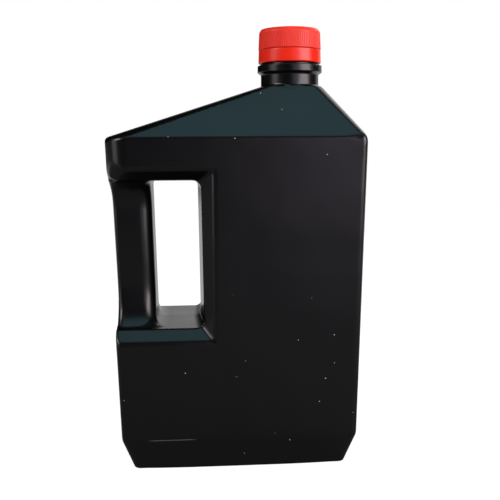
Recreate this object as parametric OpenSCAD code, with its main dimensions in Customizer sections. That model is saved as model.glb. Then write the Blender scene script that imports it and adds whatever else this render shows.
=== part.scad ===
// Oil bottle with an off-centre neck, a hipped shoulder, a through handle and a ribbed screw cap.
// Millimetres. The origin is the centre of the base, +X points to the neck side, -Y is the front.

/* [Body] */
// Width at the shoulder crease
body_w = 186.5; // [176:0.5:200]
// Depth at the shoulder crease
body_d = 108; // [102:1:124]
// Height of the shoulder crease
shoulder_z = 241.4; // [236:0.2:262]
// Width where the side walls meet the base chamfer
waist_w = 172.8; // [168:0.2:175]
// Depth where the side walls meet the base chamfer
waist_d = 102.4; // [100:0.2:108]
// Height of the base chamfer
waist_z = 23; // [14:0.5:32]
// How far the middle of the base lies right of the shoulder's middle
lean = 0.75; // [0:0.05:1.5]
// Width of the base
foot_w = 156; // [146:1:168]
// Depth of the base at its corners
foot_d = 90; // [84:1:100]
// How far the middle of the base edge stands out at the front and back
foot_bow = 2; // [0:0.5:4]
// Radius of the upright edges
edge_r = 4.5; // [3:0.5:7]
// Radius of the two upright edges above the handle
block_r = 16; // [8:1:20]
// Length over which a crease between two walls is rounded
crease = 4; // [2:0.5:6]
// Thickness of the blown wall
wall = 1.2; // [0.9:0.1:2.4]

/* [Base] */
// Width of the flat ring that the bottle stands on
ring_w = 7; // [5:0.5:10]
// Depth of the hollow inside the ring
hollow_h = 3; // [1:0.5:5]
// Run of the slope around the hollow
hollow_run = 6; // [3:0.5:10]

/* [Shoulder] */
// Rise of the roof from the shoulder crease to the neck
roof_h = 37.6; // [30:0.2:44]
// Distance of the neck axis from the right side at the shoulder crease
neck_side = 50.1; // [46:0.1:56]
// Radius of the corners of the roof's square top
top_corner = 8; // [5:0.5:14]
// Height over which that top closes in to the neck
top_close = 1.8; // [1:0.2:3]

/* [Handle recess] */
// Depth of the recess below each face
recess_cut = 10; // [7:0.5:13]
// Height of the floor of the opening
hole_low = 104.3; // [96:0.1:112]
// Height of the opening
hole_h = 106.9; // [92:0.1:112]
// Radius of the opening's corners
hole_r = 6; // [3:0.5:9]
// Rise of the lower bevel for each millimetre of depth
bevel_low = 1.1; // [0.8:0.05:1.4]
// Rise of the upper bevel for each millimetre of depth
bevel_top = 0.8; // [0.6:0.05:1.2]
// Run of the right bevel for each millimetre of depth
bevel_side = 0.94; // [0.7:0.02:1.2]
// How far the right side of the opening leans left over its height
hole_lean = 1.1; // [0:0.1:2]

/* [Grip] */
// Width of the opening between the grip and the body at mid height
reach = 35.7; // [30:0.1:42]
// Width of the grip
grip_w = 27.8; // [24:0.2:32]
// Depth of the grip
grip_d = 54; // [44:1:64]
// Radius of the grip's outer edges
grip_out_r = 7; // [4:0.5:10]
// Radius of the grip's inner edges
grip_in_r = 10; // [6:0.5:12]
// Height over which the foot of the grip flares out
flare_low = 25; // [12:0.5:30]
// Height over which the top of the grip flares out
flare_top = 15; // [8:0.5:24]
// Radius of the opening's corner at the foot of the grip
turn_low = 8; // [3:0.5:10]
// Radius of the opening's corner at the top of the grip
turn_top = 5; // [3:0.5:10]
// How far the grip's outer face lies inside the body's side
grip_inset = 1.6; // [0.6:0.1:3]

/* [Neck] */
// Radius of the neck below the bead
neck_r = 21.75; // [20:0.05:22.4]
// Plain height of the neck below the bead
neck_h = 9.3; // [7:0.1:14]
// Radius of the fillet at the root of the neck
neck_fillet = 4; // [3:0.5:6]
// Radius of the bead
bead_r = 24.25; // [23.4:0.05:26]
// Height of the bead's sloping underside
bead_rise = 1.2; // [0.8:0.1:2.6]
// Height of the bead's rim
bead_h = 5.5; // [3:0.5:8]
// Radius of the bore
bore_r = 17.6; // [15:0.1:18.2]
// Radius of the land between the bead and the tamper band
land_r = 21.6; // [20.2:0.1:22]
// Outer radius of the neck wall behind the thread
finish_r = 19.9; // [19.3:0.1:20.1]
// Radius of the ledge that locks the tamper band
lock_r = 22; // [21.7:0.05:22.1]
// Height of that ledge
lock_h = 2.6; // [2:0.1:3]
// Play of the tamper band under that ledge
lock_gap = 0.8; // [0.4:0.1:1.2]

/* [Thread] */
// Lift of the cap in one turn
pitch = 5; // [4.6:0.1:5.6]
// Radius of the neck's thread over its crest
thread_r = 21.2; // [20.8:0.05:21.25]
// Inner radius of the cap's thread
cap_thread_r = 20.35; // [20.25:0.05:20.8]
// Distance from the end of the neck's thread to the rim
thread_end = 3.75; // [3:0.25:6]
// Distance from the end of the cap's thread to the liner
cap_thread_end = 2.2; // [2:0.1:4]
// Half the width of a thread at its root
root_half = 1.3; // [1:0.05:1.35]
// Half the width of a thread at its crest
crest_half = 0.5; // [0.3:0.05:0.6]
// Height of the neck's thread above the lock ledge where it starts
thread_start = 2.3; // [2:0.1:2.6]
// Distance of the cap's thread below the neck's
thread_drop = 1.9; // [1.8:0.05:2.2]

/* [Cap] */
// Radius of the cap over its ribs
cap_r = 23.5; // [23:0.1:24]
// Height of the cap
cap_h = 15.1; // [12:0.1:18]
// Thickness of the cap's top
cap_top = 1.6; // [1.2:0.1:2.4]
// Radius of the cap's bore
cap_bore_r = 21.6; // [21.5:0.05:21.9]
// Rounding of the cap's top edge
crown_r = 3; // [1:0.5:3.5]
// Number of ribs
ribs = 96; // [60:4:120]
// Height of a rib
rib_h = 0.45; // [0.3:0.05:0.6]

/* [Tamper band] */
// Radius of the band at its lower edge
band_r = 23.55; // [23.1:0.05:24.2]
// Radius of the band at its upper edge
band_top_r = 23.25; // [23:0.05:23.8]
// Gap between the bead and the band
band_gap = 1.5; // [0.8:0.1:3]
// Height of the band
band_h = 9.6; // [8:0.1:11]
// Inner radius of the band
band_bore_r = 22.4; // [22.3:0.05:22.5]
// Inner radius of the flange at its lower edge
flange_r = 21; // [20.6:0.1:21.3]
// Height of the flange
flange_h = 2.2; // [1.6:0.1:2.4]
// Height of the slit between band and cap
slit_h = 0.4; // [0.3:0.1:0.9]
// Number of bridges across the slit
bridges = 12; // [6:1:18]
// Width of a bridge
bridge_w = 1.2; // [0.8:0.1:2]
// Depth of a bridge's outer face below the cap's ribs
bridge_inset = 0.3; // [0.2:0.05:0.4]

/* [Liner] */
// Thickness of the liner
liner_t = 1.6; // [1:0.1:2.4]
// Gap between the liner and the cap's wall
liner_gap = 0.5; // [0.3:0.1:0.8]

/* [Hidden] */
$fn = 96;
far = 140;              // reach of a cutting solid past the body
seg = 6;                // steps round a quarter turn of the body's edges
bays = 4;               // steps along a bowed side
soft = 4;               // steps round a crease
lap = 1;                // depth by which a solid runs into the next one
fine = 0.05;            // air between a bridge and the cap
lead = 0.5;             // small chamfers on the neck
floor_r = 1.2;          // length of the rounding under the base's edge
waist_lift = 0.3;       // shares of the wall by which the inside's creases shift in height
eaves_drop = 0.6;
top_draw = 0.5;         // share of the wall by which the inside's square top is smaller
end_inset = 0.5;        // distance of the grip's flared ends inside the body's side
end_lap = 0.6;          // depth of those ends below the recess's floor
neck_wall = 1.7;        // wall of the neck below the bead
neck_sink = 8;          // depth of the neck's solids in the roof
lock_land = 1;          // height of the lock ledge's rim
core_gap = 0.3;         // depth of the cap's round core below the ribs' grooves
crown_gap = 0.1;        // depth of the cap's crown below the ribs
rib_steps = [0, 0.3, 0.5, 0.8]; // corners of a groove and a rib, as shares of their spacing
roof_r = neck_r + 0.15; // half the width of the roof's square top
top_sink = 0.25;        // depth of the roof's last ring in the neck's wall
land_gap = 0.3;         // air between the land and the tamper band
root_turn = 36;         // turn of the fillet at the root of the neck
root_rise = 1.55;       // height of the fillet's upper end above the roof's square top
ease = 30;              // turn over which a thread rises from the wall at its ends
thread_steps = 48;      // steps of a thread in one turn
bite = 0.5;             // depth of a thread's root in its wall
neck_x = body_w / 2 - neck_side;
top_span = atan(1 - top_corner / roof_r); // half angle of a side of the roof's top
roof_z = shoulder_z + roof_h;
plane_y = body_d / 2 - recess_cut;
hole_top = hole_low + hole_h;
hole_mid = hole_low + hole_h / 2;
edge_low = hole_low + 1;   // heights between which the left edge grows rounder, beside the grip
edge_high = hole_top - 6;
hole_right = left_x(hole_mid) + grip_inset + grip_w + reach;
hole_turn = atan(hole_lean / hole_h);
bevel_z = roof_z + neck_h;
bead_z = bevel_z + bead_rise;
bead_top = bead_z + bead_h;
band_z = bead_top + band_gap;
cap_z = band_z + band_h + slit_h;
cap_end = cap_z + cap_h;
liner_z = cap_end - cap_top - liner_t;
lock_z = band_z + flange_h + lock_gap;
thread_z = lock_z + lock_h + thread_start;
cap_first = 360 * ceil((cap_z + root_half + thread_drop - thread_z) / pitch * 36) / 36;

// The body's left and right sides at height z, between base chamfer and shoulder
function rise(z) = (z - waist_z) / (shoulder_z - waist_z);
function left_x(z) = mix(lean - waist_w / 2, -body_w / 2, rise(z));
function right_x(z) = mix(lean + waist_w / 2, body_w / 2, rise(z));

// A ring is [height, left x, right x, half depth, left radius, right radius, bow]
function mix(a, b, u) = a + (b - a) * u;
function on_side(z, left_r) =
    [z, left_x(z), right_x(z), mix(waist_d, body_d, rise(z)) / 2, left_r, edge_r, 0];
function arc_pts(cx, cy, r, from) =
    [for (i = [0:seg]) [cx + r * cos(from + i * 90 / seg), cy + r * sin(from + i * 90 / seg)]];
function side_pts(x0, x1, y, bow) =
    [for (k = [1:bays - 1]) [mix(x0, x1, k / bays), y + bow * 4 * k / bays * (1 - k / bays)]];
function ring_pts(v) =
    let (x0 = v[1], x1 = v[2], y = v[3], rl = v[4], rr = v[5])
    [for (p = concat(
        arc_pts(x1 - rr, y - rr, rr, 0),
        side_pts(x1 - rr, x0 + rl, y, v[6]),
        arc_pts(x0 + rl, y - rl, rl, 90),
        arc_pts(x0 + rl, rl - y, rl, 180),
        side_pts(x0 + rl, x1 - rr, -y, -v[6]),
        arc_pts(x1 - rr, rr - y, rr, 270))) [p[0], p[1], v[0]]];

// Round ring in the neck's wall that closes the roof, with its points shared out as a ring's
function span_angles(a, b, n, first) = [for (i = [first:n]) mix(a, b, i / n)];
function half_angles() = concat(
    span_angles(top_span, 90 - top_span, seg, 0),
    span_angles(90 - top_span, 90 + top_span, bays, 1),
    span_angles(90 + top_span, 180 - top_span, seg, 1));
function neck_ring(r, z) =
    [for (turn = [0, 180], a = half_angles()) [neck_x + r * cos(a + turn), r * sin(a + turn), z]];

// Rounds the crease at ring b, between rings a and c, by a quadratic curve
function leg(a, b, len) = mix(b, a, min(0.45, len / norm([b[0] - a[0], b[1] - a[1]])));
function soften(a, b, c, len) = let (p = leg(a, b, len), q = leg(c, b, len))
    [for (i = [0:soft]) let (u = i / soft) mix(mix(p, b, u), mix(b, q, u), u)];

// Moves a ring inwards by t, and up by dz
function inset(v, t, dz) = [v[0] + dz, v[1] + t, v[2] - t, v[3] - t, v[4] - t, v[5] - t, v[6]];

// Closed solid through a list of rings that have the same number of points
module loft(rings) {
    n = len(rings[0]);
    m = len(rings);
    pts = [for (r = rings, p = r) p];
    floor_face = [for (i = [0:n - 1]) i];
    top_face = [for (i = [n - 1:-1:0]) (m - 1) * n + i];
    walls = [for (j = [0:m - 2], i = [0:n - 1], h = [0, 1])
        let (a = j * n + i, b = j * n + (i + 1) % n)
        h == 0 ? [a, b + n, b] : [a, a + n, b + n]];
    polyhedron(points = pts, faces = concat([floor_face], walls, [top_face]), convexity = 6);
}

// The whole body without recess or grip; t > 0 gives the space inside a wall of that thickness
module hull_form(t) {
    edge = [0, lean - foot_w / 2, lean + foot_w / 2, foot_d / 2, edge_r, edge_r, foot_bow];
    foot = inset(edge, t, t);
    under = inset(foot, 3 * floor_r, 0);
    waist = inset(on_side(waist_z, edge_r), t, waist_lift * t);
    low = inset(on_side(edge_low, edge_r), t, 0);
    high = inset(on_side(edge_high, block_r), t, 0);
    eaves = inset(on_side(shoulder_z, block_r), t, -eaves_drop * t);
    top_r = roof_r - top_draw * t;
    top_z = roof_z - t;
    ridge = [top_z, neck_x - top_r, neck_x + top_r, top_r, top_corner - t, top_corner - t, 0];
    rings = concat(
        soften(under, foot, waist, floor_r),
        soften(foot, waist, low, crease),
        [low, high],
        soften(high, eaves, ridge, crease),
        [ridge]);
    last = neck_ring(neck_r - top_sink - t, top_z + top_close);
    loft(concat([for (v = rings) ring_pts(v)], [last]));
}

// Hollow under the base
module base_hollow(t) {
    rim = [-lap, lean - foot_w / 2, lean + foot_w / 2, foot_d / 2, edge_r, edge_r, 0];
    lip = floor_r + ring_w - t;
    a = [rim[0], rim[1] + lip, rim[2] - lip, rim[3] - lip, edge_r, edge_r, 0];
    b = inset(a, hollow_run - edge_r, lap + hollow_h + t);
    loft([ring_pts(a), ring_pts([b[0], b[1], b[2], b[3], edge_r, edge_r, 0])]);
}

// Offset of a bevel's foot that leaves a wall of thickness t behind it
function bevel_shift(s, t) = t * (sqrt(1 + s * s) - s);

// Bevelled pocket on the front; the two profiles cross, so its corner is mitred
module front_pocket(t) {
    y = plane_y - t;
    z0 = hole_low - bevel_shift(bevel_low, t);
    z1 = hole_top + bevel_shift(bevel_top, t);
    x0 = hole_right + bevel_shift(bevel_side, t);
    deep = 30;
    intersection() {
        rotate([90, 0, 90])
            translate([0, 0, -far])
                linear_extrude(far * 2)
                    polygon([[-y, z0], [-y - deep, z0 - bevel_low * deep],
                             [-y - deep, z1 + bevel_top * deep], [-y, z1]]);
        translate([0, 0, hole_mid])
            rotate([0, -hole_turn, 0])
                translate([0, 0, -far])
                    linear_extrude(far * 2)
                        polygon([[x0, -y], [-far, -y], [-far, -y - deep],
                                 [x0 + bevel_side * deep, -y - deep]]);
    }
}

// Outline of the opening with its two right corners rounded, drawn in X and Z
function slot_outline(t) =
    let (x = t + hole_right, z0 = hole_low - t, z1 = hole_top + t, r = hole_r + t,
         low = x + hole_lean / 2 - r, high = x - hole_lean / 2 - r)
    concat([[-far, z0]],
        [for (i = [0:seg]) [low + r * sin(i * 90 / seg), z0 + r - r * cos(i * 90 / seg)]],
        [for (i = [0:seg]) [high + r * cos(i * 90 / seg), z1 - r + r * sin(i * 90 / seg)]],
        [[-far, z1]]);

// Everything that the handle recess takes out of the body
module recess(t) {
    front_pocket(t);
    mirror([0, 1, 0]) front_pocket(t);
    rotate([90, 0, 0])
        translate([0, 0, -plane_y - lap])
            linear_extrude(2 * (plane_y + lap))
                polygon(slot_outline(t));
}

// Grip: rounded sections that flare at both ends, from inside one block to inside the other
function end_share(z, low, top) = min(1, max(0, 1 - (z - hole_low) / low, 1 - (hole_top - z) / top));
function bend(s) = 1 - sqrt(1 - s * s);
function grip_ring(z, t) =
    let (s = end_share(z, flare_low, flare_top),
         c = end_share(z, turn_low, turn_top),
         turn = z < hole_mid ? turn_low : turn_top,
         x0 = left_x(z) + mix(grip_inset, end_inset, s * s) + t,
         x1 = left_x(z) + grip_inset + grip_w + turn * bend(c) - t,
         hd = mix(grip_d / 2, plane_y - end_lap, s * s) - t)
    [z, x0, x1, hd, grip_out_r - t, grip_in_r - t, 0];
module grip(t) {
    ends = 4;
    steps = 8;
    z0 = hole_low;
    z1 = hole_top;
    heights = concat([z0 - ends],
        [for (i = [0:steps]) z0 + flare_low * pow(i / steps, 1.5)],
        [for (i = [steps:-1:0]) z1 - flare_top * pow(i / steps, 1.5)],
        [z1 + ends]);
    loft([for (z = heights) ring_pts(grip_ring(z, t))]);
}

// Body with recess and grip; t > 0 gives its inside
module blown_form(t) {
    difference() {
        hull_form(t);
        recess(t);
        base_hollow(t);
    }
    grip(t);
}

// Neck: root fillet, bead, plain land, lock ledge and the wall behind the thread
module neck_outer() {
    root_z = roof_z + root_rise;
    root_r = neck_r + neck_fillet * (1 - cos(root_turn));
    rotate_extrude()
        polygon(concat(
            [[0, roof_z - neck_sink], [root_r, roof_z - neck_sink]],
            [for (i = [0:6]) let (a = root_turn * (1 - i / 6))
                [neck_r + neck_fillet * (1 - cos(a)), root_z - neck_fillet * sin(a)]],
            [[neck_r, bevel_z], [bead_r - lead, bead_z], [bead_r, bead_z + lead],
             [bead_r, bead_top - lead], [bead_r - lead, bead_top], [land_r, bead_top],
             [land_r, band_z - land_gap], [finish_r, band_z - land_gap],
             [finish_r, lock_z], [lock_r, lock_z], [lock_r, lock_z + lock_land],
             [finish_r, lock_z + lock_h], [finish_r, liner_z - lead], [finish_r - lead, liner_z],
             [0, liner_z]]));
}

// Bore of the neck, wider below the bead, down into the roof's space
module neck_inner() {
    wide_r = neck_r - neck_wall;
    rotate_extrude()
        polygon([[0, roof_z - neck_sink], [wide_r, roof_z - neck_sink], [wide_r, bevel_z - lap],
                 [bore_r, bevel_z - lap + wide_r - bore_r], [bore_r, liner_z + lap], [0, liner_z + lap]]);
}

// Right-hand thread: a ridge swept along a helix, from the root radius to the crest radius.
// The helix passes height z at the turn 0. The ridge runs from the turn first up to the height
// end, and eases out of the wall at both ends.
module thread(root, crest, z, first, end) {
    step = 360 / thread_steps;
    n = floor(((end - z) * 360 / pitch - first) / step);
    low_tip = 0.3;
    section = function (i)
        let (e = min(1, i * step / ease, (n - i) * step / ease),
             tip = mix(root, crest, mix(low_tip, 1, e)))
        [[root, -root_half], [tip, -crest_half], [tip, crest_half], [root, root_half]];
    pts = [for (i = [0:n], p = section(i)) let (a = first + i * step)
        [p[0] * cos(a), p[0] * sin(a), z + pitch * a / 360 + p[1]]];
    walls = [for (i = [0:n - 1], k = [0:3], h = [0, 1])
        let (a = i * 4 + k, b = i * 4 + (k + 1) % 4)
        h == 0 ? [a, b, b + 4] : [a, b + 4, a + 4]];
    outwards = concat([[3, 2, 1, 0]], walls, [[for (k = [0:3]) n * 4 + k]]);
    inwards = [for (f = outwards) [for (k = [len(f) - 1:-1:0]) f[k]]];
    polyhedron(points = pts, faces = crest > root ? outwards : inwards, convexity = 8);
}

module bottle() {
    color("#17181b")
        difference() {
            union() {
                blown_form(0);
                translate([neck_x, 0, 0]) neck_outer();
                translate([neck_x, 0, 0])
                    thread(finish_r - bite, thread_r, thread_z, 0, liner_z - thread_end);
            }
            blown_form(wall);
            translate([neck_x, 0, 0]) neck_inner();
        }
}

// Ribbed outline of the cap's skirt
function rib_outline() = [for (i = [0:ribs - 1], k = [0:3])
    let (a = (i + rib_steps[k]) * 360 / ribs, r = cap_r - (k < 2 ? rib_h : 0))
    [r * cos(a), r * sin(a)]];

module cap() {
    core_r = cap_r - rib_h - core_gap;
    crown_x = cap_r - crown_gap - crown_r;
    crown_z = cap_end - crown_r;
    color("#d8301c")
        translate([neck_x, 0, 0]) {
            difference() {
                union() {
                    translate([0, 0, cap_z]) linear_extrude(cap_h - crown_r) polygon(rib_outline());
                    rotate_extrude()
                        polygon(concat([[0, cap_z + lap], [core_r, cap_z + lap], [core_r, crown_z]],
                            [for (i = [0:8]) let (a = i * 90 / 8)
                                [crown_x + crown_r * cos(a), crown_z + crown_r * sin(a)]],
                            [[0, cap_end]]));
                }
                translate([0, 0, cap_z - lap]) cylinder(r = cap_bore_r, h = cap_h - cap_top + lap);
            }
            thread(cap_bore_r + bite, cap_thread_r, thread_z - thread_drop, cap_first,
                liner_z - cap_thread_end);
        }
}

module cap_liner() {
    color("#e8e6df")
        translate([neck_x, 0, liner_z]) cylinder(r = cap_bore_r - liner_gap, h = liner_t);
}

// Ring that stays on the neck, with its flange under the lock ledge and bridges up to the cap
module tamper_band() {
    color("#d8301c")
        translate([neck_x, 0, 0]) {
            rotate_extrude()
                polygon([[flange_r + lead, band_z], [band_r - lead, band_z], [band_r, band_z + lead],
                         [band_top_r, band_z + band_h], [band_bore_r, band_z + band_h],
                         [band_bore_r, band_z + flange_h + lead], [flange_r, band_z + flange_h],
                         [flange_r, band_z + lead]]);
            for (i = [0:bridges - 1])
                rotate(i * 360 / bridges)
                    translate([band_bore_r + fine, -bridge_w / 2, band_z + band_h - lead])
                        cube([cap_r - bridge_inset - band_bore_r - fine, bridge_w,
                            slit_h + lead - fine]);
        }
}

bottle();
cap();
cap_liner();
tamper_band();
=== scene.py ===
"""Looks of a black oil bottle with a red screw cap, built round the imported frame.

Lengths are in millimetres up to make_piece, which turns them into the frame's metres.
The origin is under the middle of the shoulder, +X points to the neck side, -Y is the front.
"""
import math

import bpy
import numpy as np
from mathutils import Matrix, Vector


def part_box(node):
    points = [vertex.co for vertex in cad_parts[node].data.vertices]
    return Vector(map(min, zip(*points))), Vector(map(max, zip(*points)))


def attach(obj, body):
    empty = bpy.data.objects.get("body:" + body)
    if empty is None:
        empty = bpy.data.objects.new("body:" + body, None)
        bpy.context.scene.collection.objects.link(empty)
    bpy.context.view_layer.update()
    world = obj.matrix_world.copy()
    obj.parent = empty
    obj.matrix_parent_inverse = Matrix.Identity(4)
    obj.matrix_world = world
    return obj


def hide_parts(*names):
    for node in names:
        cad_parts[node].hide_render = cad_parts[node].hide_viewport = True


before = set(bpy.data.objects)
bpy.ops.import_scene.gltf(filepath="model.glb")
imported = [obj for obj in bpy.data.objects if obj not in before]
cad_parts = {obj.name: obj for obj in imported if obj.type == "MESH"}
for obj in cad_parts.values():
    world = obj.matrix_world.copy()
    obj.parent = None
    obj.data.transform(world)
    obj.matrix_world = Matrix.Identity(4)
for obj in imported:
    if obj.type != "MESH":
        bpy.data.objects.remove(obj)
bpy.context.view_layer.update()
MM = 0.001


# Sizes that the frame gives

def node_box(name):
    """Lowest and highest corner of a CAD node, in millimetres."""
    low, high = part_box(name)
    return np.array(low) / MM, np.array(high) / MM


bottle_low, bottle_high = node_box("bottle")
cap_low, cap_high = node_box("cap")
band_low, band_high = node_box("tamper_band")
liner_low, liner_high = node_box("cap_liner")
NECK_X = (cap_low[0] + cap_high[0]) / 2
RIM_Z = bottle_high[2]
CAP_Z = cap_low[2]
CAP_TOP_Z = cap_high[2]
CAP_R = (cap_high[0] - cap_low[0]) / 2
BAND_Z = band_low[2]
BAND_R = (band_high[0] - band_low[0]) / 2
HALF_W = min(bottle_high[0], -bottle_low[0])
HALF_D = bottle_high[1]

# Body
SHOULDER_Z = 241.4
WAIST_Z = 23.0
LEAN = 0.75
WAIST_HALF_W = 86.4
WAIST_HALF_D = 51.2
FOOT_HALF_W = 78.0
FOOT_HALF_D = 45.0
FOOT_BOW = 2.0
EDGE_R = 4.5
BLOCK_R = 16.0
BLOCK_FROM_Z = 105.0
BLOCK_FULL_Z = 205.0
WALL = 1.2
WAIST_CREASE = 0.8
SHOULDER_CREASE = 1.1
CORNER_CREASE = 3.0
CORNER_FROM_X = 75.0
CORNER_RUN = 12.0
ROOF_CREASE = 0.9
FOOT_CREASE = 1.0

# Hollow under the base
RING_INSET = 8.2
HOLLOW_H = 3.0
HOLLOW_SLOPE = 2.0
HOLLOW_CREASE = 1.5
RING_CREASE = 1.2

# Handle recess
PLANE_Y = 44.0
HOLE_LOW_Z = 104.3
HOLE_TOP_Z = HOLE_LOW_Z + 106.9
HOLE_MID_Z = (HOLE_LOW_Z + HOLE_TOP_Z) / 2
HOLE_SIDE_X = -25.23
HOLE_SIDE_LEAN = 0.0103
HOLE_DRAFT = 0.04
HOLE_R = 6.0
BEVEL_LOW = 1.1
BEVEL_TOP = 0.8
BEVEL_SIDE = 0.94
MITRE = 2.2
LIP = 1.0
RECESS_EDGE = 1.8
BLOCK_CORNER = 8.0
BLOCK_CORNER_X = -78.0
BLOCK_CORNER_Z = 190.0
BLOCK_CORNER_RUN = 10.0

# Grip
GRIP_INNER_X = -59.24
GRIP_INNER_Z = 130.0
GRIP_INNER_LEAN = 0.0239
GRIP_INSET = 1.6
GRIP_END_INSET = 0.5
GRIP_HALF_D = 27.0
GRIP_END_HALF_D = 39.5
GRIP_OUTER_R = 4.0
GRIP_INNER_R = 9.0
FLARE_LOW = 37.0
FLARE_TOP = 23.0
BLEND_INNER_LOW = 8.0
BLEND_INNER_TOP = 5.0
BLEND_OUTER = 1.5
BLEND_FROM_X = -72.0
BLEND_RUN_X = 10.0
BLEND_RUN_Y = 9.0

# Neck
NECK_R = 21.75
ROOF_Z = SHOULDER_Z + 37.6
ROOF_R = NECK_R + 0.15
ROOF_CORNER_R = 8.0
CLOSE_Z = ROOF_Z + 0.4
CLOSE_RUN = 14.0
NECK_BLEND = 1.8
NECK_SINK = 8.0
CUT_Z = ROOF_Z + 5.0
BEVEL_Z = ROOF_Z + 9.3
BEAD_R = 24.25
BEAD_Z = BEVEL_Z + 1.2
BEAD_TOP_Z = BEAD_Z + 5.5
BEAD_ROUND = 0.7
LAND_R = 21.6
LAND_Z = BAND_Z - 0.3
FINISH_R = 19.9
BORE_R = 17.6
LOCK_R = 22.0
LOCK_Z = BAND_Z + 3.0
LOCK_H = 2.6
PITCH = 5.0
THREAD_R = 21.2
THREAD_Z = LOCK_Z + LOCK_H + 2.3
THREAD_END_Z = RIM_Z - 3.75
THREAD_ROOT = 1.3
THREAD_CREST = 0.5
THREAD_FADE = 0.4
CAP_THREAD_R = 20.35
CAP_THREAD_DROP = 1.9


# Fields: a solid is where its field is below zero, and a field grows by about one for each millimetre

def smooth_max(a, b, k):
    """Larger of two fields, with the crease where they meet rounded over the length k."""
    h = np.maximum(k - np.abs(a - b), 0.0) / k
    return np.maximum(a, b) + h * h * k / 4


def smooth_min(a, b, k):
    """Smaller of two fields, with the corner where they meet filled over the length k."""
    return -smooth_max(-a, -b, k)


def smooth_step(t):
    """Rises from 0 to 1 as t does, level at both ends."""
    t = np.clip(t, 0.0, 1.0)
    return t * t * (3 - 2 * t)


def mix(a, b, t):
    """Straight from a to b as t goes from 0 to 1."""
    return a + (b - a) * t


def rounded_box(u, v, half_u, half_v, r):
    """Distance to a rectangle of those half sizes whose corners have the radius r."""
    qu = np.abs(u) - half_u + r
    qv = np.abs(v) - half_v + r
    corner = np.hypot(np.maximum(qu, 0), np.maximum(qv, 0))
    return corner + np.minimum(np.maximum(qu, qv), 0) - r


def leaning(tube, x, y, z):
    """Distance to a tube whose section changes with height: its level distance over its gradient."""
    step = 0.05
    slope = (tube(x, y, z + step) - tube(x, y, z - step)) / (2 * step)
    return tube(x, y, z) / np.sqrt(1 + slope * slope)


def rise(z):
    """Share of the way up from the waist to the shoulder."""
    return (z - WAIST_Z) / (SHOULDER_Z - WAIST_Z)


def left_side(z):
    """The body's left side at a height, straight from the waist to the shoulder."""
    return mix(LEAN - WAIST_HALF_W, -HALF_W, rise(z))


def edge_radius(x, z):
    """Radius of the upright edges: one size on the right, growing to the block's on the left."""
    grown = smooth_step((z - BLOCK_FROM_Z) / (BLOCK_FULL_Z - BLOCK_FROM_Z))
    return np.where(x < 0, mix(EDGE_R, BLOCK_R, grown), EDGE_R)


def wall_tube(x, y, z):
    """Upright walls: a rounded rectangle that widens and shifts left from the waist to the shoulder."""
    up = rise(z)
    half_w = mix(WAIST_HALF_W, HALF_W, up)
    half_d = mix(WAIST_HALF_D, HALF_D, up)
    return rounded_box(x - LEAN * (1 - up), y, half_w, half_d, edge_radius(x, z))


def foot_tube(x, y, z):
    """Chamfer round the base: it widens up to the waist, and its long edges bow out at the bottom."""
    up = z / WAIST_Z
    bow = FOOT_BOW * (1 - (x / FOOT_HALF_W) ** 2) * (1 - up)
    half_w = mix(FOOT_HALF_W, WAIST_HALF_W, up)
    half_d = mix(FOOT_HALF_D, WAIST_HALF_D, up) + bow
    return rounded_box(x - LEAN, y, half_w, half_d, EDGE_R)


def roof_tube(x, y, z):
    """Hipped roof: the shoulder's rounded rectangle shrinks straight into a rounded square."""
    up = (z - SHOULDER_Z) / (ROOF_Z - SHOULDER_Z)
    half_w = mix(HALF_W, ROOF_R, up)
    half_d = mix(HALF_D, ROOF_R, up)
    start_r = np.where(x < NECK_X * up, BLOCK_R, EDGE_R)
    r = np.minimum(mix(start_r, ROOF_CORNER_R, np.clip(up, 0, None)), half_d)
    return rounded_box(x - NECK_X * up, y, half_w, half_d, r)


def roof_top(x, y, z):
    """Shallow cone round the neck that cuts the roof's top corners off."""
    cone = np.hypot(x - NECK_X, y) - ROOF_R - CLOSE_RUN * (CLOSE_Z - z)
    return cone / math.hypot(1, CLOSE_RUN)


def hull_field(x, y, z):
    """The whole body without recess or grip: walls, foot, roof and the plane it stands on."""
    walls = wall_tube(x, y, z)
    body = smooth_max(walls, leaning(foot_tube, x, y, z), WAIST_CREASE)
    corner = smooth_step((np.abs(x) - CORNER_FROM_X) / CORNER_RUN)
    crease = mix(SHOULDER_CREASE, CORNER_CREASE, corner)
    roof = smooth_max(leaning(roof_tube, x, y, z), roof_top(x, y, z), ROOF_CREASE)
    body = smooth_max(body, roof, crease)
    return smooth_max(body, -z, FOOT_CREASE)


def recess_field(x, y, z):
    """What the handle recess takes out: three bevels down to a plane, then a slot right through."""
    depth = np.abs(y) - PLANE_Y
    side_x = HOLE_SIDE_X - HOLE_SIDE_LEAN * (z - HOLE_MID_Z)
    low = (HOLE_LOW_Z - BEVEL_LOW * depth - z) / math.hypot(1, BEVEL_LOW)
    top = (z - HOLE_TOP_Z - BEVEL_TOP * depth) / math.hypot(1, BEVEL_TOP)
    side = (x - side_x - BEVEL_SIDE * depth) / math.hypot(1, BEVEL_SIDE)
    wedge = smooth_max(smooth_max(low, side, MITRE), top, MITRE)
    wedge = np.maximum(wedge, -depth)
    half_h = (HOLE_TOP_Z - HOLE_LOW_Z) / 2
    reach = 200.0
    draft = HOLE_DRAFT * np.maximum(-depth, 0)
    slot = rounded_box(x - side_x + draft + reach, z - HOLE_MID_Z, reach, half_h, HOLE_R)
    return smooth_min(wedge, slot, LIP)


def recess_edge(x, z):
    """Length of the rounding along the recess: short, but long at the block's lower outer corner."""
    outwards = smooth_step((BLOCK_CORNER_X - x) / BLOCK_CORNER_RUN)
    upwards = smooth_step((z - BLOCK_CORNER_Z) / BLOCK_CORNER_RUN)
    return mix(RECESS_EDGE, BLOCK_CORNER, outwards * upwards)


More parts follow.
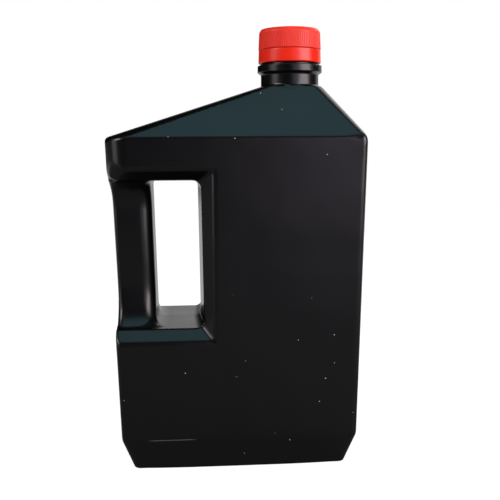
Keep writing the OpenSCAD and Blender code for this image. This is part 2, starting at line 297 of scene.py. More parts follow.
def grip_end(z):
    """Cube of the share by which the grip has flared out: 1 at the opening's ends, 0 in between."""
    low = 1 - (z - HOLE_LOW_Z) / FLARE_LOW
    top = 1 - (HOLE_TOP_Z - z) / FLARE_TOP
    return np.clip(np.maximum(low, top), 0, 1) ** 3


def grip_tube(x, y, z):
    """Grip: an upright bar with rounded edges, which widens at its ends to the body's depth."""
    end = grip_end(z)
    outer_x = left_side(z) + mix(GRIP_INSET, GRIP_END_INSET, end)
    inner_x = GRIP_INNER_X - GRIP_INNER_LEAN * (z - GRIP_INNER_Z)
    mid = (outer_x + inner_x) / 2
    r = np.where(x < mid, GRIP_OUTER_R, GRIP_INNER_R)
    half_d = mix(GRIP_HALF_D, GRIP_END_HALF_D, end)
    draft = np.where(x > mid, HOLE_DRAFT * np.abs(y), 0)
    return rounded_box(x - mid + draft, y, (inner_x - outer_x) / 2, half_d, r)


def grip_blend(x, y, z):
    """Length of the rounding where the grip meets the blocks: long on its inner side, short outside."""
    inner = smooth_step((x - BLEND_FROM_X) / BLEND_RUN_X)
    deep = smooth_step((PLANE_Y - np.abs(y)) / BLEND_RUN_Y)
    long = np.where(z < HOLE_MID_Z, BLEND_INNER_LOW, BLEND_INNER_TOP)
    return mix(BLEND_OUTER, long, inner * deep)


def base_hollow(x, y, z):
    """Shallow hollow inside the ring that the bottle stands on, with sloping sides."""
    def tube(x, y, z):
        inset = RING_INSET + HOLLOW_SLOPE * z
        return rounded_box(x - LEAN, y, FOOT_HALF_W - inset, FOOT_HALF_D - inset, EDGE_R)
    return smooth_max(leaning(tube, x, y, z), z - HOLLOW_H, HOLLOW_CREASE)


def bottle_field(x, y, z):
    """The blown body: hull less recess and hollow, with the grip and the neck blended in."""
    hull = hull_field(x, y, z)
    body = smooth_max(hull, -recess_field(x, y, z), recess_edge(x, z))
    body = smooth_min(body, leaning(grip_tube, x, y, z), grip_blend(x, y, z))
    body = np.maximum(body, hull)
    neck = np.maximum(np.hypot(x - NECK_X, y) - NECK_R, ROOF_Z - NECK_SINK - z)
    body = smooth_min(body, neck, NECK_BLEND)
    return smooth_max(body, -base_hollow(x, y, z), RING_CREASE)


# Nets: the surface where a field has a given level, worked out on a rectilinear net

def net_lines(stops, grain):
    """Net lines through (place, step) stops; a step times the grain holds up to the next stop."""
    runs = []
    for (start, step), (end, _) in zip(stops[:-1], stops[1:]):
        count = max(1, round((end - start) / (step * grain)))
        runs.append(np.linspace(start, end, count, endpoint=False))
    return np.concatenate(runs + [[stops[-1][0]]])


def gradient(field, points):
    """Gradient of a field at points, from two readings along each axis."""
    step = 0.02
    parts = []
    for axis in range(3):
        shift = np.zeros(3)
        shift[axis] = step
        parts.append((field(*(points + shift).T) - field(*(points - shift).T)) / (2 * step))
    return np.stack(parts, axis=1)


CORNERS = np.array([(i, j, k) for i in (0, 1) for j in (0, 1) for k in (0, 1)])
CELL_EDGES = [(a, b) for a in range(8) for b in range(a + 1, 8)
              if np.abs(CORNERS[a] - CORNERS[b]).sum() == 1]


def surface_net(field, lines, tries=4):
    """Surface of a field on a net: one point in each cell that it crosses, one quad on each crossed edge.

    A point starts at the mean of its cell's crossings and is moved onto the surface along the
    gradient. Returns the points, the quads facing outwards, and the cell index of each point.
    """
    nodes = np.meshgrid(*lines, indexing="ij")
    value = field(*nodes)
    inside = value < 0
    count = sum(inside[i:i - 1 or None, j:j - 1 or None, k:k - 1 or None].astype(int)
                for i, j, k in CORNERS)
    cells = np.argwhere((count > 0) & (count < 8))
    ids = np.full(count.shape, -1)
    ids[tuple(cells.T)] = np.arange(len(cells))

    at = [tuple((cells + c).T) for c in CORNERS]
    corner_value = np.stack([value[a] for a in at])
    corner_point = np.stack([np.stack([line[a[n]] for n, line in enumerate(lines)], 1) for a in at])
    total = np.zeros((len(cells), 3))
    crossings = np.zeros((len(cells), 1))
    for a, b in CELL_EDGES:
        crossed = (corner_value[a] < 0) != (corner_value[b] < 0)
        gap = np.where(crossed, corner_value[a] - corner_value[b], 1.0)
        share = (corner_value[a] / gap)[:, None]
        point = mix(corner_point[a], corner_point[b], share)
        total += np.where(crossed[:, None], point, 0.0)
        crossings += crossed[:, None]
    points = total / crossings
    low = np.stack([line[cells[:, n]] for n, line in enumerate(lines)], 1)
    high = np.stack([line[cells[:, n] + 1] for n, line in enumerate(lines)], 1)
    slack = 0.15 * (high - low)
    for _ in range(tries):
        slope = gradient(field, points)
        length = np.maximum((slope * slope).sum(1, keepdims=True), 0.05)
        points = points - field(*points.T)[:, None] * slope / length
        points = np.clip(points, low - slack, high + slack)

    quads = []
    for axis in range(3):
        sides = [(axis + 1) % 3, (axis + 2) % 3]
        solid = np.moveaxis(inside, (axis, *sides), (0, 1, 2))
        cell = np.moveaxis(ids, (axis, *sides), (0, 1, 2))
        first = solid[:-1, 1:-1, 1:-1]
        second = solid[1:, 1:-1, 1:-1]
        ring = np.stack([cell[:, :-1, :-1], cell[:, 1:, :-1], cell[:, 1:, 1:], cell[:, :-1, 1:]], -1)
        quads.append(ring[first & ~second])
        quads.append(ring[~first & second][:, ::-1])
    return points, np.concatenate(quads), cells


def boundary_ring(points, cells, top):
    """Points of the last layer of cells, in order of their angle round the neck."""
    ring = np.flatnonzero(cells[:, 2] == top)
    angle = np.arctan2(points[ring, 1], points[ring, 0] - NECK_X) % (2 * np.pi)
    order = np.argsort(angle)
    return ring[order], angle[order]


# Turned surfaces: rows of radii and heights carried round an axis

def arc(centre_r, centre_z, r, start, end, steps):
    """Points of an arc in a profile, from one angle to another in degrees."""
    a = np.radians(np.linspace(start, end, steps))
    return list(zip(centre_r + r * np.cos(a), centre_z + r * np.sin(a)))


def turned_points(radius, height, angle):
    """Points of a grid whose rows follow a profile and whose columns go round the neck's axis."""
    radius, height, angle = np.broadcast_arrays(radius, height, angle)
    x = NECK_X + radius * np.cos(angle)
    return np.stack([x, radius * np.sin(angle), height], -1).reshape(-1, 3)


def grid_quads(rows, columns, start=0):
    """Quads of a grid of rows and columns that closes on itself round its columns."""
    at = start + np.arange(rows * columns).reshape(rows, columns)
    here, along = at[:-1], np.roll(at[:-1], -1, 1)
    return np.stack([here, along, np.roll(at[1:], -1, 1), at[1:]], -1).reshape(-1, 4)


def zip_rings(ring_a, angle_a, ring_b, angle_b):
    """Triangles between two rings: each edge of one meets the point of the other that faces it."""
    def mid(angle):
        return (angle + np.append(angle[1:], angle[0] + 2 * np.pi)) / 2
    mid_a, mid_b = mid(angle_a), mid(angle_b)
    facing_b = ring_b[np.searchsorted(mid_b, mid_a) % len(ring_b)]
    facing_a = ring_a[np.searchsorted(mid_a, mid_b) % len(ring_a)]
    on_a = np.stack([ring_a, np.roll(ring_a, -1), facing_b], 1)
    on_b = np.stack([np.roll(ring_b, -1), ring_b, facing_a], 1)
    return np.concatenate([on_a, on_b])


def thread_rise(angle, height, start_z, end_z, height_at_zero):
    """Share of the thread's height at an angle and a height.

    It is a ridge along a helix that rises by the pitch in each turn and fades out at both ends.
    """
    turn = (height - height_at_zero) / PITCH - angle / (2 * np.pi)
    nearest = np.round(turn)
    off = np.abs(turn - nearest) * PITCH
    ridge = 1 - np.clip((off - THREAD_CREST) / (THREAD_ROOT - THREAD_CREST), 0, 1)
    centre = height - (turn - nearest) * PITCH
    fade = smooth_step((centre - start_z) / THREAD_FADE) * smooth_step((end_z - centre) / THREAD_FADE)
    return smooth_step(ridge) * fade


def make_piece(name, points, faces, body, node, material, normals=None):
    """Mesh object from points in millimetres: it rides on a body, has a slot and replaces a node."""
    mesh = bpy.data.meshes.new(name)
    mesh.from_pydata((np.asarray(points) * MM).tolist(), [], [list(f) for f in faces])
    mesh.polygons.foreach_set("use_smooth", np.ones(len(mesh.polygons), bool))
    mesh.materials.append(material)
    if normals is not None:
        mesh.normals_split_custom_set_from_vertices(normals.tolist())
    piece = bpy.data.objects.new(name, mesh)
    bpy.context.scene.collection.objects.link(piece)
    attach(piece, body)
    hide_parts(node)


# Materials: the sizes of their patterns

PEBBLE = 2.2
PEBBLE_H = 0.05
SWELL = 55.0
SWELL_H = 1.2
PARTING_CORE = 0.10
PARTING_HALF_W = 0.35
PARTING_H = 0.12
DUST_SPACING = 11.0
DUST_CORE = 0.022       # shares of the spacing: a speck's full middle and its edge
DUST_EDGE = 0.036
DUST_SKIPPED = 0.3      # share of the cells that stay clean
# Painted highlight: a faint pale line along the waist crease, in place of its glint
CREASE_HIGHLIGHT_FROM_X = -62.0
CREASE_HIGHLIGHT_TO_X = -36.0
CREASE_HIGHLIGHT_FADE_X = 5.0
CREASE_HIGHLIGHT_Z = 23.0
CREASE_HIGHLIGHT_FADE_Z = 0.45
CREASE_HIGHLIGHT_PALENESS = 0.16
RED_GRAIN = 0.7
RED_GRAIN_H = 0.04
FOAM_CELL = 0.5
FOAM_CELL_H = 0.1


def linear(hex_colour):
    """Linear red, green, blue and alpha of an sRGB hex colour."""
    parts = np.array([int(hex_colour[i:i + 2], 16) for i in (1, 3, 5)]) / 255
    low = parts / 12.92
    high = ((parts + 0.055) / 1.055) ** 2.4
    return (*np.where(parts <= 0.04045, low, high).tolist(), 1.0)


def new_material(name):
    """Empty node material and its Principled shader."""
    material = bpy.data.materials.new(name)
    material.use_nodes = True
    return material, material.node_tree, material.node_tree.nodes["Principled BSDF"]


def add_node(tree, kind, inputs=None, **settings):
    """Adds a node, sets its settings, and links or sets its inputs by name or number."""
    node = tree.nodes.new(kind)
    for key, value in settings.items():
        setattr(node, key, value)
    for key, value in (inputs or {}).items():
        if isinstance(value, bpy.types.NodeSocket):
            tree.links.new(value, node.inputs[key])
        else:
            node.inputs[key].default_value = value
    return node


def calc(tree, operation, a, b=0.0, **settings):
    """Output of a Math node that works on two values or outputs."""
    return add_node(tree, "ShaderNodeMath", {0: a, 1: b}, operation=operation, **settings).outputs[0]


def bump(tree, height, strength, distance, under=None):
    """Normal that a height in millimetres gives, over another normal where there is one."""
    inputs = {"Height": height, "Strength": strength, "Distance": distance * MM}
    if under is not None:
        inputs["Normal"] = under
    return add_node(tree, "ShaderNodeBump", inputs).outputs["Normal"]


def black_hdpe():
    """Blow-moulded HDPE, carbon black: a waxy satin skin, slightly uneven, with dust specks and a painted
    highlight along the waist crease.

    The fine noise is the blasted mould's grain, which spreads the lamps' reflections. The broad noise is
    the panels' shrinkage, which makes the reflections wander, and the thin rise is the parting line.
    """
    material, tree, shader = new_material("blow_moulded_hdpe_black")
    place = add_node(tree, "ShaderNodeTexCoord").outputs["Object"]
    axis = add_node(tree, "ShaderNodeSeparateXYZ", {"Vector": place}).outputs
    pebble = add_node(tree, "ShaderNodeTexNoise",
                      {"Vector": place, "Scale": 1 / (PEBBLE * MM), "Detail": 3.0, "Roughness": 0.55})
    swell = add_node(tree, "ShaderNodeTexNoise",
                     {"Vector": place, "Scale": 1 / (SWELL * MM), "Detail": 1.0})
    parting = add_node(tree, "ShaderNodeMapRange",
                       {"Value": calc(tree, "ABSOLUTE", axis["Y"]), "From Min": PARTING_CORE * MM,
                        "From Max": PARTING_HALF_W * MM, "To Min": 1.0, "To Max": 0.0},
                       interpolation_type="SMOOTHSTEP")
    fine = bump(tree, pebble.outputs["Fac"], 0.10, PEBBLE_H)
    broad = bump(tree, swell.outputs["Fac"], 1.0, SWELL_H, fine)
    seam = bump(tree, parting.outputs["Result"], 0.8, PARTING_H, broad)
    # Pale marks: dust specks, and a painted highlight along the waist crease
    pale = calc(tree, "MAXIMUM", dust_specks(tree, place), crease_highlight(tree, axis))
    colour = add_node(tree, "ShaderNodeMix",
                      {0: pale, "A": linear("#060607"), "B": linear("#c9c9c6")}, data_type="RGBA")
    tree.links.new(colour.outputs["Result"], shader.inputs["Base Color"])
    tree.links.new(seam, shader.inputs["Normal"])
    shader.inputs["Roughness"].default_value = 0.27
    shader.inputs["IOR"].default_value = 1.5
    return material


def dust_specks(tree, place):
    """Sparse pale specks of dust: the middles of most cells of a coarse cell pattern."""
    cells = add_node(tree, "ShaderNodeTexVoronoi", {"Vector": place, "Scale": 1 / (DUST_SPACING * MM)})
    speck = add_node(tree, "ShaderNodeMapRange",
                     {"Value": cells.outputs["Distance"], "From Min": DUST_CORE, "From Max": DUST_EDGE,
                      "To Min": 1.0, "To Max": 0.0})
    pick = add_node(tree, "ShaderNodeSeparateColor", {"Color": cells.outputs["Color"]})
    kept = calc(tree, "GREATER_THAN", pick.outputs["Red"], DUST_SKIPPED)
    return calc(tree, "MULTIPLY", speck.outputs["Result"], kept)


def stripe(tree, value, low, high, fade):
    """1 where a value lies between low and high, falling to 0 over a length; all in millimetres."""
    up = add_node(tree, "ShaderNodeMapRange",
                  {"Value": value, "From Min": (low - fade) * MM, "From Max": low * MM})
    down = add_node(tree, "ShaderNodeMapRange",
                    {"Value": value, "From Min": high * MM, "From Max": (high + fade) * MM,
                     "To Min": 1.0, "To Max": 0.0})
    return calc(tree, "MULTIPLY", up.outputs["Result"], down.outputs["Result"])


def crease_highlight(tree, axis):
    """Painted highlight: a faint pale line along the front crease above the foot, near the handle's side,
    in place of the crease's glint.
    """
    along = stripe(tree, axis["X"], CREASE_HIGHLIGHT_FROM_X, CREASE_HIGHLIGHT_TO_X, CREASE_HIGHLIGHT_FADE_X)
    across = stripe(tree, axis["Z"], CREASE_HIGHLIGHT_Z, CREASE_HIGHLIGHT_Z, CREASE_HIGHLIGHT_FADE_Z)
    front = calc(tree, "LESS_THAN", axis["Y"], 0.0)
    line = calc(tree, "MULTIPLY", calc(tree, "MULTIPLY", along, across), front)
    return calc(tree, "MULTIPLY", line, CREASE_HIGHLIGHT_PALENESS)


def red_pp():
    """Injection-moulded polypropylene, orange red: smooth and waxy, with a broad soft gloss."""
    material, tree, shader = new_material("injection_moulded_pp_red")
    place = add_node(tree, "ShaderNodeTexCoord").outputs["Object"]
    grain = add_node(tree, "ShaderNodeTexNoise",
                     {"Vector": place, "Scale": 1 / (RED_GRAIN * MM), "Detail": 2.0})
    tree.links.new(bump(tree, grain.outputs["Fac"], 0.15, RED_GRAIN_H), shader.inputs["Normal"])
    shader.inputs["Base Color"].default_value = linear("#e02003")
    shader.inputs["Roughness"].default_value = 0.28
    shader.inputs["Specular IOR Level"].default_value = 0.4
    shader.inputs["IOR"].default_value = 1.49
    return material


def foamed_pe():
    """Foamed polyethylene liner: matt off-white with a fine cellular face."""
    material, tree, shader = new_material("foamed_pe_white")
    place = add_node(tree, "ShaderNodeTexCoord").outputs["Object"]
    cells = add_node(tree, "ShaderNodeTexVoronoi", {"Vector": place, "Scale": 1 / (FOAM_CELL * MM)})
    tree.links.new(bump(tree, cells.outputs["Distance"], 0.3, FOAM_CELL_H), shader.inputs["Normal"])
    shader.inputs["Base Color"].default_value = linear("#e4e2da")
    shader.inputs["Roughness"].default_value = 0.7
    return material


hdpe = black_hdpe()
pp = red_pp()
foam = foamed_pe()


# Bottle

X_STOPS = [(-94.4, 1.3), (-54, 3), (-31, 1.3), (-13, 3), (17, 1.6), (94.4, 1)]
Y_STOPS = [(-55.2, 1.4), (-38, 1.9), (38, 1.4), (55.2, 1)]
Z_STOPS = [(-0.9, 0.8), (5, 5), (19, 0.9), (27, 6), (90, 1.1), (131, 6), (193, 1.1), (222, 5),
           (237.5, 0.8), (245.5, 1.6), (271, 0.8), (CUT_Z, 1)]
OUTER_GRAIN = 1.0
INNER_GRAIN = 2.0


def neck_outline():
    """Outer profile of the neck, from above the root to the rim: bead, land, lock ledge, thread wall."""
    b = BEAD_ROUND
    lead = 0.5
    lower = [(NECK_R, z) for z in (CUT_Z + 0.8, BEVEL_Z - 1.0, BEVEL_Z - 0.6)]
    lower += [(NECK_R + 0.1, BEVEL_Z - 0.2), (NECK_R + 0.4, BEVEL_Z + 0.15)]
    bead = arc(BEAD_R - b, BEAD_Z + b, b, -66, 0, 7)
    bead += arc(BEAD_R - b, BEAD_TOP_Z - b, b, 0, 90, 7)
    land = [(LAND_R + 0.5, BEAD_TOP_Z), (LAND_R + 0.1, BEAD_TOP_Z + 0.12), (LAND_R, BEAD_TOP_Z + 0.5),
            (LAND_R, LAND_Z - 0.2), (LAND_R - 0.2, LAND_Z), (FINISH_R, LAND_Z), (FINISH_R, LOCK_Z)]
    lock = [(LOCK_R - 0.3, LOCK_Z), (LOCK_R, LOCK_Z + 0.3), (LOCK_R, LOCK_Z + 1),
            (FINISH_R, LOCK_Z + LOCK_H)]
    wall = [(FINISH_R, z) for z in np.arange(LOCK_Z + LOCK_H + 0.3, RIM_Z - lead - 0.1, 0.3)]
    rim = arc(FINISH_R - lead, RIM_Z - lead, lead, 0, 90, 5)
    return np.array(lower + bead + land + lock + wall + rim)


def bore_outline():
    """Inner profile of the neck, from the rim down to the cut."""
    rim = arc(BORE_R + 0.3, RIM_Z - 0.3, 0.3, 90, 180, 4)
    wide = NECK_R - WALL
    down = [(BORE_R, z) for z in np.arange(RIM_Z - 3, BEVEL_Z + 2, -3.0)]
    return np.array(rim + down + [(BORE_R, BEVEL_Z + 1), (wide - 0.4, BEVEL_Z - 2), (wide, BEVEL_Z - 2.6)])


def build_bottle():
    """The blown body's two faces from one field, its neck turned on top, and the rims joined."""
    lines = [net_lines(s, OUTER_GRAIN) for s in (X_STOPS, Y_STOPS, Z_STOPS)]
    outer, outer_quads, cells = surface_net(bottle_field, lines)
    ring_o, angle_o = boundary_ring(outer, cells, len(lines[2]) - 2)
    normal_o = gradient(bottle_field, outer)

    def inner_field(x, y, z):
        return bottle_field(x, y, z) + WALL
    coarse = [net_lines(s, INNER_GRAIN) for s in (X_STOPS, Y_STOPS, Z_STOPS)]
    inner, inner_quads, cells = surface_net(inner_field, coarse)
    ring_i, angle_i = boundary_ring(inner, cells, len(coarse[2]) - 2)
    normal_i = -gradient(inner_field, inner)

    profile = neck_outline()
    radius = profile[:, :1] + 0 * angle_o[None]
    height = profile[:, 1:] + 0 * angle_o[None]
    on_wall = (profile[:, :1] == FINISH_R) & (profile[:, 1:] > LOCK_Z + LOCK_H)
    ridge = thread_rise(angle_o[None], height, THREAD_Z, THREAD_END_Z, THREAD_Z)
    radius = radius + np.where(on_wall, (THREAD_R - FINISH_R) * ridge, 0.0)
    neck = turned_points(radius, height, angle_o[None])
    bore_profile = bore_outline()
    bore = turned_points(bore_profile[:, :1], bore_profile[:, 1:], angle_o[None])
    columns = len(angle_o)
    turned = np.concatenate([neck, bore])
    rows = len(profile) + len(bore_profile)

    start_i = len(outer)
    start_t = start_i + len(inner)
    points = np.concatenate([outer, inner, turned])
    turned_quads = grid_quads(rows, columns, start_t)
    first_row = start_t + np.arange(columns)
    last_row = start_t + (rows - 1) * columns + np.arange(columns)
    join = np.stack([ring_o, np.roll(ring_o, -1), np.roll(first_row, -1), first_row], 1)
    quads = np.concatenate([outer_quads, inner_quads[:, ::-1] + start_i, turned_quads, join])
    closing = zip_rings(last_row, angle_o, ring_i + start_i, angle_i)

    grid = turned.reshape(rows, columns, 3)
    along = np.gradient(grid, axis=0)
    around = np.roll(grid, -1, 1) - np.roll(grid, 1, 1)
    normal_t = np.cross(around, along).reshape(-1, 3)
    normals = np.concatenate([normal_o, normal_i, normal_t])
    normals /= np.maximum(np.linalg.norm(normals, axis=1, keepdims=True), 1e-9)
    return points, quads.tolist() + closing.tolist(), normals


points, faces, normals = build_bottle()
make_piece("bottle_skin", points, faces, "bottle", "bottle", hdpe, normals)


# Cap

CAP_RIBS = 96
RIB_H = 0.34
GROOVE_POWER = 8
CROWN_R = 3.0
CAP_TOP = 1.6
CAP_BORE_R = 21.6
CAP_TAPER = 0.7
RIB_COLUMNS = 8
RIB_TOP_Z = CAP_TOP_Z - CROWN_R + 1.8
RIB_TOP_FADE = 1.6
RIB_FOOT_Z = CAP_Z - 0.1
RIB_FOOT_FADE = 0.5
CAP_THREAD_Z = CAP_Z + THREAD_ROOT + 0.1
CAP_THREAD_END_Z = RIM_Z - 2.2


def turned_closed(profile, columns, relief=None):
    """Closed turned solid: a profile from the axis round to the axis, with its two poles closed.

    relief(angle, radius, height) is added to the radius, for ribs and threads.
    """
    angle = np.linspace(0, 2 * np.pi, columns, endpoint=False)
    inner = np.array(profile)[1:-1]
    radius = inner[:, :1] + 0 * angle
    height = inner[:, 1:] + 0 * angle
    if relief is not None:
        radius = radius + relief(angle[None], radius, height)
    points = turned_points(radius, height, angle[None])
    quads = grid_quads(len(inner), columns)
    poles = [[NECK_X, 0, profile[0][1]], [NECK_X, 0, profile[-1][1]]]
    first = np.arange(columns)
    last = (len(inner) - 1) * columns + first
    low = len(points)
    fan_low = np.stack([np.full(columns, low), np.roll(first, -1), first], 1)
    fan_high = np.stack([np.full(columns, low + 1), last, np.roll(last, -1)], 1)
    return np.concatenate([points, poles]), quads.tolist() + fan_low.tolist() + fan_high.tolist()


def cap_profile():
    """Section of the cap: under its top, down the bore, round the lower edge, up the skirt, the crown."""
    inside_z = CAP_TOP_Z - CAP_TOP
    under = [(0, inside_z), (CAP_BORE_R - 4, inside_z)]
    under += arc(CAP_BORE_R - 1, inside_z - 1, 1, 90, 0, 6)
    bore = [(CAP_BORE_R, z) for z in np.arange(inside_z - 1.3, CAP_Z + 0.5, -0.3)]
    edge = [(CAP_BORE_R, CAP_Z + 0.25), (CAP_BORE_R + 0.2, CAP_Z), (CAP_R - 0.75, CAP_Z),
            (CAP_R - 0.2, CAP_Z + 0.1), (CAP_R, CAP_Z + 0.35)]
    side = [(CAP_R, z) for z in np.arange(CAP_Z + 0.8, CAP_TOP_Z - CROWN_R, 0.5)]
    crown = arc(CAP_R - CROWN_R, CAP_TOP_Z - CROWN_R, CROWN_R, 0, 90, 12)
    top = [(CAP_R * share, CAP_TOP_Z) for share in (0.75, 0.5, 0.25)]
    return under + bore + edge + side + crown + top + [(0, CAP_TOP_Z)]


def cap_relief(angle, radius, height):
    """Grooves between the ribs, the skirt's slight taper, and the thread inside.

    A groove is a cosine wave raised to a power, which leaves flat ribs with narrow grooves between them.
    """
    groove = (0.5 - 0.5 * np.cos(angle * CAP_RIBS)) ** GROOVE_POWER
    shown = smooth_step((RIB_TOP_Z - height) / RIB_TOP_FADE)
    shown = shown * smooth_step((height - RIB_FOOT_Z) / RIB_FOOT_FADE)
    taper = CAP_TAPER * (height - CAP_Z) / (CAP_TOP_Z - CAP_Z)
    skirt = -RIB_H * groove * shown - taper * (radius / CAP_R)
    ridge = thread_rise(angle, height, CAP_THREAD_Z, CAP_THREAD_END_Z, THREAD_Z - CAP_THREAD_DROP)
    on_bore = (radius == CAP_BORE_R) & (height > CAP_Z + 0.3)
    bore = np.where(on_bore, -(CAP_BORE_R - CAP_THREAD_R) * ridge, 0.0)
    return np.where(radius > CAP_BORE_R + 0.3, skirt, bore)


points, faces = turned_closed(cap_profile(), CAP_RIBS * RIB_COLUMNS, cap_relief)
make_piece("cap_ribbed", points, faces, "cap", "cap", pp)


# Tamper band

BAND_TOP_Z = CAP_Z - 0.15
BAND_TOP_R = CAP_R - 0.25
BAND_BORE_R = 22.4
BAND_ROUND = 0.9
BAND_TOP_ROUND = 0.35
BAND_SIDE_Z = BAND_Z + 1.6
FLANGE_R = 21.0
FLANGE_H = 2.2
BRIDGES = 12
BRIDGE_W = 1.2
BRIDGE_FADE = 0.2
BRIDGE_AIR = 0.03
BAND_COLUMNS = 720


def build_band():
    """Tamper band: a closed section carried round the neck, whose top rises to the cap at each bridge."""
    angle = np.linspace(0, 2 * np.pi, BAND_COLUMNS, endpoint=False)
    low_r, top_r = BAND_ROUND, BAND_TOP_ROUND
    shoulder_z = BAND_TOP_Z - top_r
    outer = arc(BAND_R - low_r, BAND_Z + low_r, low_r, -90, 8, 9)
    outer += [(mix(BAND_R, BAND_TOP_R, t), mix(BAND_SIDE_Z, shoulder_z, t)) for t in np.linspace(0, 1, 8)]
    outer += arc(BAND_TOP_R - top_r, shoulder_z, top_r, 30, 90, 3)
    top = [(BAND_TOP_R - top_r - 0.1, BAND_TOP_Z), (BAND_BORE_R + 0.05, BAND_TOP_Z)]
    inner = [(BAND_BORE_R, BAND_TOP_Z - 0.2), (BAND_BORE_R, BAND_Z + FLANGE_H + 0.6),
             (FLANGE_R + 0.1, BAND_Z + FLANGE_H), (FLANGE_R, BAND_Z + FLANGE_H - 0.2),
             (FLANGE_R, BAND_Z + 0.5), (FLANGE_R + 0.4, BAND_Z)]
    profile = np.array(outer + top + inner)
    radius = profile[:, :1] + 0 * angle
    height = profile[:, 1:] + 0 * angle
    pitch = 2 * np.pi / BRIDGES
    off = np.abs((angle + pitch / 2) % pitch - pitch / 2) * CAP_R
    nib = 1 - smooth_step((off - BRIDGE_W / 2 + BRIDGE_FADE) / BRIDGE_FADE)
    gap = CAP_Z - BRIDGE_AIR - BAND_TOP_Z
    raised = (profile[:, 1:] >= BAND_TOP_Z - 1e-6) & (profile[:, :1] < BAND_TOP_R - 0.3)
    height = height + np.where(raised, gap * nib[None], 0.0)
    points = turned_points(radius, height, angle[None])
    rows = len(profile)
    quads = grid_quads(rows, BAND_COLUMNS)
    first = np.arange(BAND_COLUMNS)
    last = (rows - 1) * BAND_COLUMNS + first
    seam = np.stack([last, np.roll(last, -1), np.roll(first, -1), first], 1)
    return points, np.concatenate([quads, seam]).tolist()


points, faces = build_band()
make_piece("band_ring", points, faces, "bottle", "tamper_band", pp)


# Liner

LINER_R = (liner_high[0] - liner_low[0]) / 2
LINER_ROUND = 0.3
LINER_COLUMNS = 144


def liner_profile():
    """Section of the liner: a flat disc with a slightly rounded rim."""
    r = LINER_ROUND
    low, high = liner_low[2], liner_high[2]
    return ([(0, low), (LINER_R * 0.5, low)] + arc(LINER_R - r, low + r, r, -90, 0, 5)
            + arc(LINER_R - r, high - r, r, 0, 90, 5) + [(LINER_R * 0.5, high), (0, high)])


points, faces = turned_closed(liner_profile(), LINER_COLUMNS)
make_piece("liner_disc", points, faces, "liner", "cap_liner", foam)


# Camera: at the photograph's viewing angle, in metres and degrees

CAMERA_AT = (-0.03451, -0.62020, 0.23395)
CAMERA_YAW = 4.314
CAMERA_PITCH = -7.208
CAMERA_ROLL = -0.352
CAMERA_LENS = 58.196
SENSOR = 36.0


def turn_frame(yaw, pitch, roll):
    """Right, up and backward directions of a camera that looks along +Y when unturned."""
    y, p, r = (math.radians(a) for a in (yaw, pitch, roll))
    forward = Vector((math.sin(y) * math.cos(p), math.cos(y) * math.cos(p), math.sin(p)))
    level = Vector((math.cos(y), -math.sin(y), 0))
    upright = level.cross(forward)
    right = level * math.cos(r) + upright * math.sin(r)
    up = right.cross(forward)
    return right, up, -forward


camera_data = bpy.data.cameras.new("view")
camera_data.sensor_width = SENSOR
camera_data.lens = CAMERA_LENS
camera = bpy.data.objects.new("view", camera_data)
bpy.context.scene.collection.objects.link(camera)
axes = turn_frame(CAMERA_YAW, CAMERA_PITCH, CAMERA_ROLL)
camera.matrix_world = Matrix([[*(axis[row] for axis in axes), CAMERA_AT[row]] for row in range(3)]
                             + [[0, 0, 0, 1]])
bpy.context.scene.camera = camera


# Studio: metres, watts and degrees

AIM = Vector((0.0, 0.0, 0.16))
LAMP_DISTANCE = 2.0


def softbox(name, azimuth, elevation, width, height, power, colour):
    """Area light that looks at the bottle; azimuth 0 is in front, and it grows to the right."""
    data = bpy.data.lights.new(name, "AREA")
    data.shape = "RECTANGLE"
    data.size = width
    data.size_y = height
    data.energy = power
    data.color = linear(colour)[:3]
    lamp = bpy.data.objects.new(name, data)
    bpy.context.scene.collection.objects.link(lamp)
    a, e = math.radians(azimuth), math.radians(elevation)
    away = Vector((math.sin(a) * math.cos(e), -math.cos(a) * math.cos(e), math.sin(e)))
    lamp.location = AIM + away * LAMP_DISTANCE
    lamp.rotation_euler = away.to_track_quat("Z", "Y").to_euler()


softbox("left_softbox", -68, 9, 0.8, 1.2, 5.2, "#fff4fc")
softbox("left_window", -60, 34, 0.8, 0.7, 13.0, "#ffffff")
softbox("fill_softbox", 18, 9, 0.8, 1.2, 2.8, "#f6eaff")
softbox("right_softbox", 52, 19, 1.45, 1.4, 39.0, "#fff4fa")
softbox("rear_softbox", 142, 40, 1.2, 1.3, 7.0, "#ffffff")
softbox("ceiling", 12, 74, 1.3, 1.1, 4.7, "#aeeefc")

FLOOR_HALF = 3.0
FLOOR_GLOW = 0.93       # with the lamps' light this is white to the camera
SWEEP_FROM_Y = 0.06
SWEEP_FULL_Y = 0.35
CARD_AZIMUTH = 25.0     # to the right of straight behind the bottle
CARD_FULL = 28.0        # angles from the card's middle to where it fades and ends
CARD_EDGE = 38.0
CARD_WHITE = 0.72
ROOM_LEVEL = 0.62


def in_gloss(tree, path, level):
    """A level for glossy and transmitted rays, and 0 for all others."""
    mirrored = calc(tree, "ADD", path["Is Glossy Ray"], path["Is Transmission Ray"], use_clamp=True)
    return calc(tree, "MULTIPLY", mirrored, level)


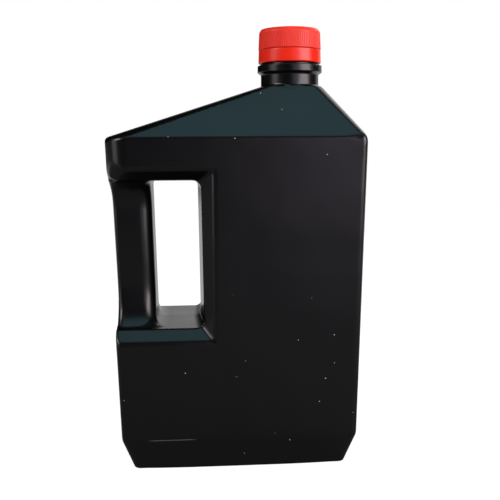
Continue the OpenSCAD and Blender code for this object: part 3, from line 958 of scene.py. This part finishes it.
def make_floor():
    """Pale floor: white to the camera with the bottle's shadow, and a pale sweep behind it to its gloss."""
    mesh = bpy.data.meshes.new("floor")
    h = FLOOR_HALF
    mesh.from_pydata([(-h, -h, 0), (h, -h, 0), (h, h, 0), (-h, h, 0)], [], [(0, 1, 2, 3)])
    floor = bpy.data.objects.new("floor", mesh)
    bpy.context.scene.collection.objects.link(floor)
    material, tree, shader = new_material("pale_paper_floor")
    path = add_node(tree, "ShaderNodeLightPath").outputs
    place = add_node(tree, "ShaderNodeTexCoord").outputs["Object"]
    back = add_node(tree, "ShaderNodeSeparateXYZ", {"Vector": place}).outputs["Y"]
    sweep = add_node(tree, "ShaderNodeMapRange",
                     {"Value": back, "From Min": SWEEP_FROM_Y, "From Max": SWEEP_FULL_Y,
                      "To Max": CARD_WHITE}, interpolation_type="SMOOTHSTEP")
    glow = calc(tree, "MULTIPLY", path["Is Camera Ray"], FLOOR_GLOW)
    seen = calc(tree, "MAXIMUM", glow, in_gloss(tree, path, sweep.outputs["Result"]))
    shader.inputs["Base Color"].default_value = linear("#646464")
    shader.inputs["Roughness"].default_value = 0.9
    shader.inputs["Specular IOR Level"].default_value = 0.0
    shader.inputs["Emission Color"].default_value = (1, 1, 1, 1)
    tree.links.new(seen, shader.inputs["Emission Strength"])
    mesh.materials.append(material)


def make_world():
    """White to the camera, a white card behind the bottle to its gloss, and an even room to its colours."""
    world = bpy.data.worlds.new("studio")
    world.use_nodes = True
    bpy.context.scene.world = world
    tree = world.node_tree
    shade = tree.nodes["Background"]
    path = add_node(tree, "ShaderNodeLightPath").outputs
    toward = add_node(tree, "ShaderNodeTexCoord").outputs["Generated"]
    a = math.radians(CARD_AZIMUTH)
    near = add_node(tree, "ShaderNodeVectorMath", {0: toward, 1: (math.sin(a), math.cos(a), 0.0)},
                    operation="DOT_PRODUCT")
    card = add_node(tree, "ShaderNodeMapRange",
                    {"Value": near.outputs["Value"], "From Min": math.cos(math.radians(CARD_EDGE)),
                     "From Max": math.cos(math.radians(CARD_FULL)), "To Max": CARD_WHITE},
                    interpolation_type="SMOOTHSTEP")
    seen = calc(tree, "MAXIMUM", path["Is Camera Ray"], in_gloss(tree, path, card.outputs["Result"]))
    room = calc(tree, "MULTIPLY", path["Is Diffuse Ray"], ROOM_LEVEL)
    shade.inputs["Color"].default_value = (1, 1, 1, 1)
    tree.links.new(calc(tree, "MAXIMUM", seen, room), shade.inputs["Strength"])


make_floor()
make_world()
bpy.context.scene.view_settings.view_transform = "Standard"
